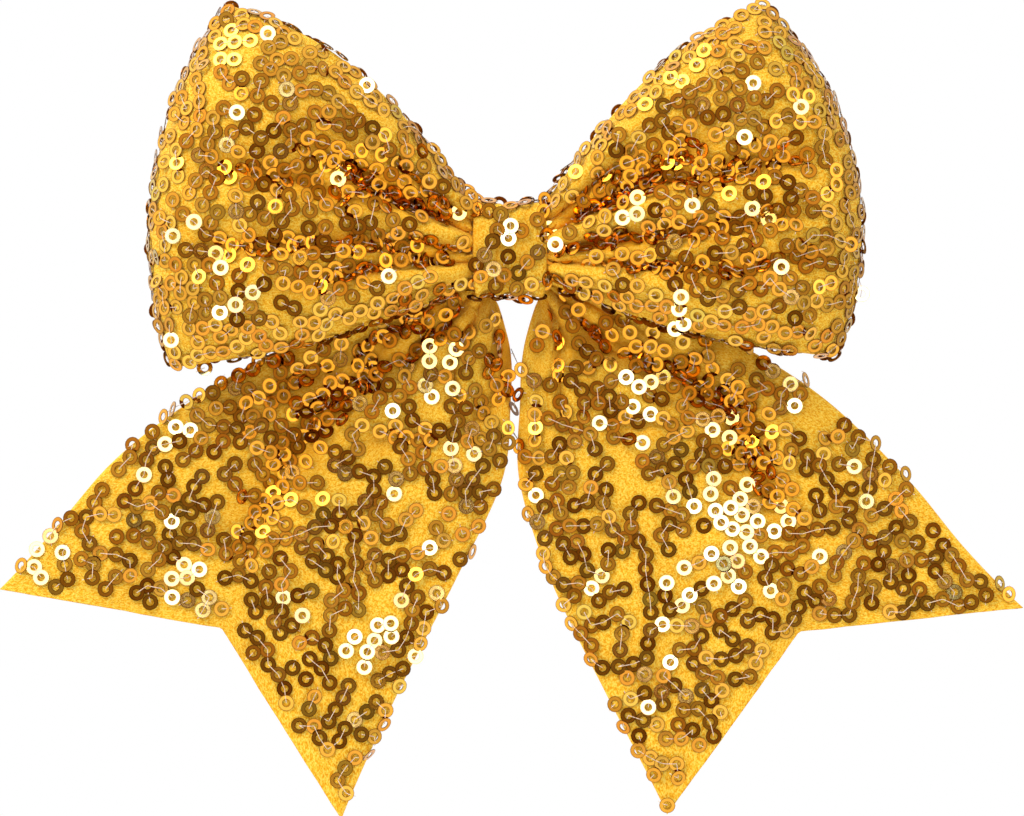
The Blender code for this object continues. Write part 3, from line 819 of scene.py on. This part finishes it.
def ring_template():
    """A flat ring of the sequin's size: its points, its faces, and how near a cut edge each point is, which
    sets the painted rim shade.
    """
    section = [
        (SEQUIN_HOLE, -0.5, 1.0),
        (SEQUIN_RADIUS, -0.5, 1.0),
        (SEQUIN_RADIUS, 0.5, 1.0),
        (SEQUIN_RADIUS - CUT_EDGE, 0.5, 0.0),
        (SEQUIN_HOLE + CUT_EDGE, 0.5, 0.0),
        (SEQUIN_HOLE, 0.5, 1.0),
    ]
    points, faces = [], []
    for k in range(SEQUIN_SIDES):
        angle = 2 * math.pi * k / SEQUIN_SIDES
        for radius, height, _ in section:
            points.append((radius * math.cos(angle), radius * math.sin(angle), height * SEQUIN_THICK))
    size = len(section)
    for k in range(SEQUIN_SIDES):
        n = (k + 1) % SEQUIN_SIDES
        for m in range(size):
            after = (m + 1) % size
            faces.append((size * k + m, size * n + m, size * n + after, size * k + after))
    return np.array(points), np.array(faces), np.tile([rim for _, _, rim in section], SEQUIN_SIDES)


def towards_glint(places):
    """The way a sequin at each place has to face to show the glint panel to the camera."""
    return unit(unit(CAMERA_PLACE - places) + unit(GLINT_PLACE - places))


def clear_of_cloth(surface, places, normals):
    """How far each sequin has to stand off its place for its whole disc to be clear of the cloth."""
    points = surface.reshape(-1, 3)
    tree = KDTree(len(points))
    for index, point in enumerate(points):
        tree.insert(point, index)
    tree.balance()
    heights = np.full(len(places), THICK / 2)
    for index, (place, normal) in enumerate(zip(places, normals)):
        near = [found[1] for found in tree.find_range(Vector(place), SEQUIN_RADIUS)]
        if near:
            heights[index] = max(heights[index], ((points[near] - place) @ normal).max())
    return np.minimum(heights, MOST_LIFT)


def hanging(places, normals, deep, glints):
    """The way each sequin faces: near its cloth's normal, tilted most in creases, or to the glint panel."""
    count = len(places)
    tilts = rng.normal(0, 1, (count, 2)) * np.radians(STEADY_TILT + CREASE_TILT * deep)[:, None]
    loose = rng.random(count) < LOOSE_SHARE
    tilts[loose] += rng.normal(0, math.radians(LOOSE_TILT), (loose.sum(), 2))
    across = unit(np.cross(normals, [0.0, 0.0, 1.0]))
    up = np.cross(across, normals)
    turned = unit(normals + across * tilts[:, :1] + up * tilts[:, 1:])
    shine = np.zeros(count)
    for (x, z), reach, share in glints:
        distance = np.hypot(places[:, 0] - x, places[:, 2] - z)
        shine = np.maximum(shine, share * np.exp(-((distance / reach) ** 4)))
    shines = rng.random(count) < shine
    wander = rng.normal(0, SHINE_WANDER, (shines.sum(), 3))
    turned[shines] = unit(towards_glint(places[shines]) + wander)
    return turned


def sequin_pieces(name, grid, facing, crease, density, glints, finishes):
    """The sequins of one sheet, and the threads that hold them, as two objects."""
    spots = sewn_chains(grid, density, crease)
    count = len(spots)
    calm = unit(blurred(facing, 6))
    places = np.array([spot[2] for spot in spots])
    normals = unit(np.array([at(calm, spot[0], spot[1]) for spot in spots]) * HANG)
    linked = np.array([spot[3] for spot in spots])
    deep = np.array([at(crease, spot[0], spot[1]) for spot in spots])
    turned = hanging(places, normals, deep, glints)
    height = clear_of_cloth(grid + facing * THICK / 2, places, turned)
    height += np.resize(LAYERS, count)
    centres = places + normals * height[:, None]
    spin = rng.uniform(0, 2 * math.pi, count)
    side = unit(np.cross(turned, [0.3, 0.1, 1.0]))
    other = np.cross(turned, side)
    x_axis = side * np.cos(spin)[:, None] + other * np.sin(spin)[:, None]
    y_axis = np.cross(turned, x_axis)
    template, faces, rim = ring_template()
    points = centres[:, None] + template @ np.stack([x_axis, y_axis, turned], axis=1)
    values = {
        "tone": np.repeat(rng.beta(1.6, 1.5, count), len(template)),
        # mask of the painted reflection and shade in creases
        "crease": np.repeat(np.clip(CREASE_REFLECTION_GAIN * deep, 0, 0.95), len(template)),
        # mask of the painted shade along the rim and hole
        "rim": np.tile(rim, count),
    }
    all_faces = repeated(faces, count, len(template))
    rings = make_mesh(f"{name}_sequins", points.reshape(-1, 3), all_faces, None, values, smooth=False)
    rings.data.materials.append(finishes["sequin"])
    stitches = stitch_threads(f"{name}_sequin_threads", centres, turned, linked, x_axis)
    stitches.data.materials.append(finishes["thread"])
    return rings, stitches


def repeated(faces, count, size):
    """The faces of count copies of a mesh that has size points."""
    return (faces[None] + (np.arange(count) * size)[:, None, None]).reshape(-1, 4)


def stitch_threads(name, centres, normals, linked, x_axis):
    """Thread from each sequin's hole over its rim, or on to the next one's hole in its chain."""
    has_next = linked >= 0
    end = centres + x_axis * (SEQUIN_RADIUS + THREAD_TUCK) - normals * THREAD_TUCK
    end[has_next] = centres[linked[has_next]]
    end_normal = normals.copy()
    end_normal[has_next] = normals[linked[has_next]]
    mean = unit(normals + end_normal)
    arch = ((0.0, -0.15), (0.16, 0.12), (0.36, 0.2), (0.64, 0.2), (0.84, 0.12), (1.0, -0.15))
    stations = [centres * (1 - share) + end * share + mean * rise for share, rise in arch]
    out = unit(np.cross(unit(end - centres), mean))
    rise = np.cross(out, unit(end - centres))
    rings = []
    for place in stations:
        for k in range(THREAD_SIDES):
            angle = 2 * math.pi * k / THREAD_SIDES
            rings.append(place + THREAD_RADIUS * (math.cos(angle) * out + math.sin(angle) * rise))
    points = np.stack(rings, axis=1)
    walls, index = tube_faces(len(stations), THREAD_SIDES)
    faces = np.array([*walls, index[0, ::-1], index[-1]])
    return make_mesh(name, points.reshape(-1, 3), repeated(faces, len(centres), index.size))


# ---- Loops ----
def loop_grid(loop, rows, columns):
    """A loop's surface, and how creased it is at each point.

    Rows run out along the front, round the fold and in along the back. Columns run from top to bottom."""
    u, v = np.meshgrid(
        np.linspace(0, 1, rows), np.linspace(EDGE_INSET, 1 - EDGE_INSET, columns), indexing="ij"
    )
    profile = smooth_path(LOOP_PROFILE, u)
    share, depth = profile[..., 0], profile[..., 1]
    top_angle, top_reach = loop["top"]
    bottom_angle, bottom_reach = loop["bottom"]
    angle = top_angle + (bottom_angle - top_angle) * v
    reach = top_reach + (bottom_reach - top_reach) * v + 4 * v * (1 - v) * loop["bulge"]
    root_x = loop["side"] * LOOP_ROOT_X
    root_z = LOOP_ROOT_TOP + (LOOP_ROOT_BOTTOM - LOOP_ROOT_TOP) * v
    x = root_x + (reach * np.cos(angle) - root_x) * share
    z = root_z + (reach * np.sin(angle) - root_z) * share
    arch = np.sin(np.pi * np.clip(share, 0, 1))
    z = z + arch * (loop["crown"] * (1 - v) ** 2 - loop["belly"] * v**2)
    roll = 1 - LOOP_EDGE_ROLL * np.abs(2 * v - 1) ** 5
    front = u < 0.5
    push = deepest(x, z, loop["creases"])
    back_push = deepest(loop["side"] * x, z, BACK_CREASES)
    room = np.clip(-depth / LOOP_ROOM, 0, 1)
    back_room = np.clip(depth / LOOP_BACK_ROOM, 0, 1)
    depth = depth * roll + LOOP_CREASE_SHARE * push * room - back_push * back_room
    grid = np.stack([x, KNOT_Y + depth, z], axis=2)
    gather = np.exp(-((share / 0.36) ** 2)) * np.clip(share / 0.05, 0, 1) * (1 - np.abs(2 * v - 1) ** 4)
    gather = gather * np.sin(2 * np.pi * LOOP_GATHERS * v + 3 * share) * np.clip(np.abs(depth) / 3, 0, 1)
    grid[..., 1] += LOOP_GATHER_DEPTH * gather
    loose = np.clip(arch * 1.4, 0, 1)
    for height, size, seed in LOOP_WRINKLES:
        grid[..., 1] += height * loose * wrinkles(grid, size, seed * loop["side"])
    # this crease mask also sets the painted shade of the knit and sequins down in the front's creases
    crease = np.clip(push * room / 5.0, 0, 1) ** 1.2 * front
    # painted shade along the band's edges, where the loop goes under it
    crease += np.exp(-(((np.abs(x) - KNOT_HALF[0]) / 1.3) ** 2)) * 0.4
    return grid, np.clip(crease, 0, 0.85)


def add_loop(name, loop, finishes):
    whole = f"{name}_loop"
    grid, crease = loop_grid(loop, *LOOP_GRID)
    cloth, lining, wrapped, facing, deep = strip(whole, "lining", grid, crease, -loop["side"], finishes)
    density = open_cloth(wrapped, start=7, fade=14)
    rings, threads = sequin_pieces(whole, wrapped, facing, deep, density, loop["glints"], finishes)
    mount({cloth: "sequin_cloth", lining: "backing_ribbon", rings: "sequin_cloth", threads: "thread"})
    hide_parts(whole)
    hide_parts(f"{whole}_ribbon")


# ---- Tails ----
def tail_grid(tail, rows, columns):
    """A tail's surface, and how creased it is at each point.

    Rows run from the knot to the V cut. Columns run from the outer edge to the inner one."""
    u, v = np.meshgrid(np.linspace(0, 1, rows), np.linspace(0, 1, columns), indexing="ij")
    v = v + EDGE_INSET * (1 - u**8) * (1 - 2 * v)
    side = tail["side"]
    inner_tip = np.array(tail["inner"][-1], float)
    along_cut = np.array([math.cos(tail["cut_angle"]), math.sin(tail["cut_angle"])])
    into_tail = np.array([-side * along_cut[1], side * along_cut[0]])
    tip = inner_tip + along_cut * RIBBON_WIDTH
    notch = (inner_tip + tip) / 2 + into_tail * NOTCH_DEPTH
    outer_edge = smooth_path(tail["outer"] + [tuple(tip)], u)
    inner_edge = smooth_path(tail["inner"], u)
    flat = outer_edge + (inner_edge - outer_edge) * v[..., None]
    first = (v < 0.5)[..., None]
    w = v[..., None] * 2
    on_cut = np.where(first, tip + (notch - tip) * w, notch + (inner_tip - notch) * (w - 1))
    flat = flat + (on_cut - (tip + (inner_tip - tip) * v[..., None])) * u[..., None] ** 3
    x, z = flat[..., 0], flat[..., 1]
    spread = np.clip(u / 0.12, 0, 1)
    push = deepest(x, z, tail["creases"])
    lift = deepest(x, z, tail["ridges"])
    edge = np.abs(2 * v - 1) ** 6
    y = TAIL_Y - 2.6 * spread + (push - lift) * (0.35 + 0.65 * spread) * TAIL_CREASE_SHARE
    y += 1.8 * np.sin(1.5 * np.pi * u) * spread + 1.6 * edge * (1 - u) * spread
    gather = np.exp(-((u / 0.27) ** 2)) * spread * (1 - np.abs(2 * v - 1) ** 4)
    gather = gather * np.sin(2 * np.pi * TAIL_GATHERS * v + 4 * u)
    y += TAIL_GATHER_DEPTH * gather
    grid = np.stack([x, y, z], axis=2)
    for height, size, seed in TAIL_WRINKLES:
        grid[..., 1] += height * spread * wrinkles(grid, size, seed * side)
    # this mask sets painted shade in the creases and in the fine gathers by the knot
    crease = np.clip(push / 5.2, 0, 1) ** 1.2 + 0.8 * np.clip(gather, 0, 1)
    return grid, np.clip(crease, 0, 0.7)


def add_tail(name, tail, finishes):
    whole = f"{name}_tail"
    grid, crease = tail_grid(tail, *TAIL_GRID)
    cloth, backing, wrapped, facing, deep = strip(whole, "backing", grid, crease, -tail["side"], finishes)
    density = open_cloth(wrapped, start=12, fade=12) * TAIL_DENSITY
    density *= np.linalg.norm(wrapped[-1:] - wrapped, axis=2) > tail["bare_hem"]
    rings, threads = sequin_pieces(whole, wrapped, facing, deep, density, tail["glints"], finishes)
    slots = {cloth: "sequin_cloth", backing: "backing_ribbon", rings: "sequin_cloth", threads: "thread"}
    for piece, slot in slots.items():
        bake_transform(piece)
    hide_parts(whole)
    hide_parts(f"{whole}_ribbon")


# ---- Knot ----
def band_grid(rows, columns):
    """The band's surface, its normals, and how creased it is at each point.

    Rows run round the knot from behind. Columns run from the left edge to the right one."""
    u, v = np.meshgrid(np.linspace(0, 1, rows), np.linspace(-1, 1, columns), indexing="ij")
    angle = np.pi * 0.5 + 2 * np.pi * u * 1.02
    power = 2 / BAND_ROUNDNESS
    c, s = np.cos(angle), np.sin(angle)
    half_y, half_z = KNOT_HALF[1] - 0.6, KNOT_HALF[2] - 0.6
    waist = 1 - 0.05 * (1 - v**2)
    lap = BAND_LAP * np.clip((u - 0.9) / 0.1, 0, 1)
    y = KNOT_Y + np.sign(s) * np.abs(s) ** power * half_y * waist
    z = np.sign(c) * np.abs(c) ** power * half_z * (waist + 0.02)
    x = v * (KNOT_HALF[0] - HEM_RADIUS - 0.75) * (1 + 0.05 * np.cos(2 * angle + math.pi))
    grid = np.stack([x, y, z], axis=2)
    normals = normals_of(grid, 1)
    centre = np.array([0, KNOT_Y, 0])
    if np.sum(normals[rows // 2, columns // 2] * (grid[rows // 2, columns // 2] - centre)) < 0:
        normals = -normals
    ripple = 0.35 * wrinkles(grid, 3.4, 4.4) + 0.22 * np.sin(v * 9 + 1.4 * np.sin(3 * angle))
    grid = grid + normals * (ripple * (1 - np.abs(v) ** 3) + lap - 0.25)[..., None]
    # painted shade in the hollows of the band's ripples
    crease = np.clip(-ripple, 0, 0.3)
    return grid, normals, crease


def add_band(finishes):
    grid, normals, crease = band_grid(*BAND_GRID)
    wrapped, facing, deep = hemmed(grid, normals, crease)
    kept = slice(2 + TURN_STEPS, -2 - TURN_STEPS)
    shown = wrapped[:, kept], facing[:, kept]
    cloth = cloth_piece("knot_band_cloth", *shown, finishes["knit"], deep[:, kept])
    density = open_cloth(wrapped)
    rings, threads = sequin_pieces("knot_band", wrapped, facing, deep, density, BAND_GLINTS, finishes)
    mount({cloth: "sequin_cloth", rings: "sequin_cloth", threads: "thread"})
    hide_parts("knot_band")


# ---- Clip ----
def tube(name, path, radius, sides, material):
    """A closed round wire along a path of points that never runs straight up."""
    along = unit(np.gradient(path, axis=0))
    out = unit(np.cross(along, np.roll(along, 1, axis=0) + np.array([0.0, 0.0, 10.0])))
    rise = np.cross(along, out)
    angles = np.linspace(0, 2 * math.pi, sides, endpoint=False)
    circle = np.cos(angles)[:, None, None] * out + np.sin(angles)[:, None, None] * rise
    points = (path + radius * circle).swapaxes(0, 1).reshape(-1, 3)
    walls, index = tube_faces(len(path), sides)
    caps = [(a, b, len(points)) for a, b in zip(np.roll(index[0], -1), index[0])]
    caps += [(a, b, len(points) + 1) for a, b in zip(index[-1], np.roll(index[-1], -1))]
    mesh = bpy.data.meshes.new(name)
    corners = np.concatenate([points, [path[0], path[-1]]]) * MM
    mesh.from_pydata(corners.tolist(), [], [tuple(wall) for wall in walls] + caps)
    mesh.validate()
    mesh.polygons.foreach_set("use_smooth", np.full(len(mesh.polygons), True))
    mesh.materials.append(material)
    return add_object(name, mesh)


def joint_place(name):
    """A joint's place, in metres."""
    return next(joint for joint in frame["joints"] if joint["name"] == name)["pos_m"]


def add_spring(finishes):
    """The clip's torsion spring, with one leg under the thumb lever."""
    x, y, _ = joint_place("clip_open")
    pin = np.array([x / MM, y / MM, 0.0])
    first = math.radians(-90)
    last = LEVER_ANGLE + math.radians(90) - SPRING_TURNS * 2 * math.pi
    turn = np.linspace(first, last, 121)
    height = SPRING_PITCH * (first - last) / (2 * math.pi)
    rise = np.linspace(-height / 2, height / 2, len(turn))
    coil = pin + np.stack([SPRING_COIL * np.cos(turn), SPRING_COIL * np.sin(turn), rise], axis=1)
    lever = np.array([math.cos(LEVER_ANGLE), math.sin(LEVER_ANGLE), 0.0])
    low_leg = [coil[0] + np.array([reach, 0, 0]) for reach in (6.0, 3.0, 0.6)]
    high_leg = [coil[-1] + lever * reach for reach in (0.6, 4.5, 9.0)]
    path = np.array([*low_leg, *coil, *high_leg])
    spring = tube("clip_torsion_spring", path, SPRING_WIRE, 12, finishes["nickel"])
    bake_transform(spring)
    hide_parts("clip_spring")


# ---- Studio ----
def add_camera():
    """The camera straight in front, with the object filling the frame from side to side."""
    data = bpy.data.cameras.new("camera")
    data.lens = LENS
    data.sensor_width = SENSOR_WIDTH
    camera = add_object("camera", data)
    camera.location = CAMERA_PLACE * MM
    camera.rotation_euler = (math.radians(90), 0, 0)
    bpy.context.scene.camera = camera


def area_light(name, place, size, radiance, colour):
    """A square soft light at place, in millimetres, facing the bow, with a given brightness of its face."""
    data = bpy.data.lights.new(name, "AREA")
    data.size = size * MM
    data.energy = radiance * (math.pi * size * MM) ** 2
    data.color = colour
    light = add_object(name, data)
    aim = Vector((0, -0.01, -0.03))
    light.location = Vector(place) * MM
    light.rotation_euler = (aim - light.location).to_track_quat("-Z", "Y").to_euler()


def towards(tree, way):
    """How nearly the direction looked in runs that way, from -1 to 1."""
    node = add_node(tree, "VectorMath", operation="DOT_PRODUCT")
    tree.links.new(coordinates(tree, "Generated"), node.inputs[0])
    node.inputs[1].default_value = way
    return node.outputs["Value"]


def add_world():
    """A pale tent round the bow, with the dark gap in front that the sequins mirror."""
    world = bpy.data.worlds.new("tent")
    bpy.context.scene.world = world
    world.use_nodes = True
    tree = world.node_tree
    tree.nodes.clear()
    tent = ramp(tree, towards(tree, (0, -1, 0)), TENT_STOPS)
    height = maths(tree, "MULTIPLY_ADD", towards(tree, Vector(LIT_FROM).normalized()), 0.5, 0.5)
    tent = mottled(tree, tent, height, SHADE_STOPS)
    inside = add_node(tree, "Background")
    set_inputs(inside, Color=tent, Strength=TENT_STRENGTH)
    backdrop = add_node(tree, "Background")
    set_inputs(backdrop, Color=(1, 1, 1, 1), Strength=1.0)
    seen = add_node(tree, "LightPath").outputs["Is Camera Ray"]
    choose = add_node(tree, "MixShader")
    for index, source in enumerate((seen, inside.outputs[0], backdrop.outputs[0])):
        feed(choose, index, source)
    set_inputs(add_node(tree, "OutputWorld"), Surface=choose.outputs[0])


def add_floor():
    """A pale round table well below the bow."""
    height = CAD_LOW[2] - FLOOR_DROP
    angles = [2 * math.pi * k / FLOOR_SIDES for k in range(FLOOR_SIDES)]
    ring = [(FLOOR_RADIUS * math.cos(a), FLOOR_RADIUS * math.sin(a), height) for a in angles]
    mesh = bpy.data.meshes.new("floor")
    mesh.from_pydata([Vector(p) * MM for p in ring], [], [tuple(range(FLOOR_SIDES))])
    material, _, shader = new_material("pale_floor")
    set_inputs(shader, Base_Color=(0.86, 0.85, 0.83, 1), Roughness=0.7)
    mesh.materials.append(material)
    add_object("floor", mesh)


def add_studio():
    add_world()
    add_floor()
    area_light("key", (-370, -430, 480), 420, 1.6, (1, 0.98, 0.94))
    area_light("fill", (640, -400, 80), 400, 0.4, (1, 1, 1))
    area_light("glint", GLINT_PLACE, 90, 9.0, (0.17, 0.28, 1.0))
    bpy.context.scene.view_settings.view_transform = "Standard"


# ---- Everything, in order ----
def finish_cad_nodes(finishes):
    """Gives each CAD node that stays visible its own worked material."""
    for finish, nodes in CAD_FINISHES.items():
        for node in nodes:
            slots = frame["nodes"][node].data.materials
            slots.clear()
            slots.append(finishes[finish])


add_camera()
add_studio()
FINISHES = {
    "knit": knit_material(),
    "grosgrain": grosgrain_material("grosgrain", "UV", 1),
    "gathered": grosgrain_material("gathered_ribbon", "Object", 1 / MM),
    "sequin": sequin_material(),
    "thread": thread_material(),
    "nickel": nickel_material(),
    "glue": glue_material(),
}
add_band(FINISHES)
for side_name, side_loop in LOOPS.items():
    add_loop(side_name, side_loop, FINISHES)
for side_name, side_tail in TAILS.items():
    add_tail(side_name, side_tail, FINISHES)
add_spring(FINISHES)
finish_cad_nodes(FINISHES)
